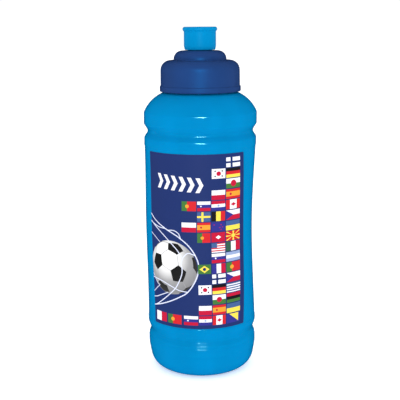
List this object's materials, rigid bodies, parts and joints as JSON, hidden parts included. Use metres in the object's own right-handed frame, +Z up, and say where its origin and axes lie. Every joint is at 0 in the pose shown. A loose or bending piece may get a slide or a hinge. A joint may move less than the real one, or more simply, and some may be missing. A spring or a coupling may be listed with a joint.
{
  "type": "sports squeeze bottle",
  "caption": "Soft squeeze bottle with a waisted, grooved body, a printed wrap label, and a screw cap with a push-pull drinking spout.",
  "frame": {"origin": "centre of the foot, on the ground", "axes": "+Z up along the bottle's axis, -Y towards the label"},
  "size_m": [0.0702, 0.0702, 0.216],
  "materials": {
    "blown_plastic": "satin",
    "printed_film": "satin",
    "cap_plastic": "satin",
    "seal_foam": "matte",
    "spout_plastic": "satin"
  },
  "bodies": {
    "bottle": {"bottle_body": "blown_plastic", "label_decal": "printed_film"},
    "seal": {"cap_gasket": "seal_foam"},
    "cap": {"screw_cap": "cap_plastic"},
    "spout": {"pull_spout": "spout_plastic"}
  },
  "joints": [
    {"name": "cap_lift", "type": "slide", "parent": "bottle", "child": "seal", "axis": [0, 0, 1], "range_m": [0, 0.0169]},
    {"name": "cap_turn", "type": "hinge", "parent": "seal", "child": "cap", "pos_m": [0, 0, 0.1769], "axis": [0, 0, 1], "range_deg": [0, 1440]},
    {"name": "spout_pull", "type": "slide", "parent": "cap", "child": "spout", "axis": [0, 0, 1], "range_m": [0, 0.007]}
  ],
  "couplings": [
    {"joint": "cap_lift", "follows": "cap_turn", "m_per_rad": 0.00066845}
  ]
}
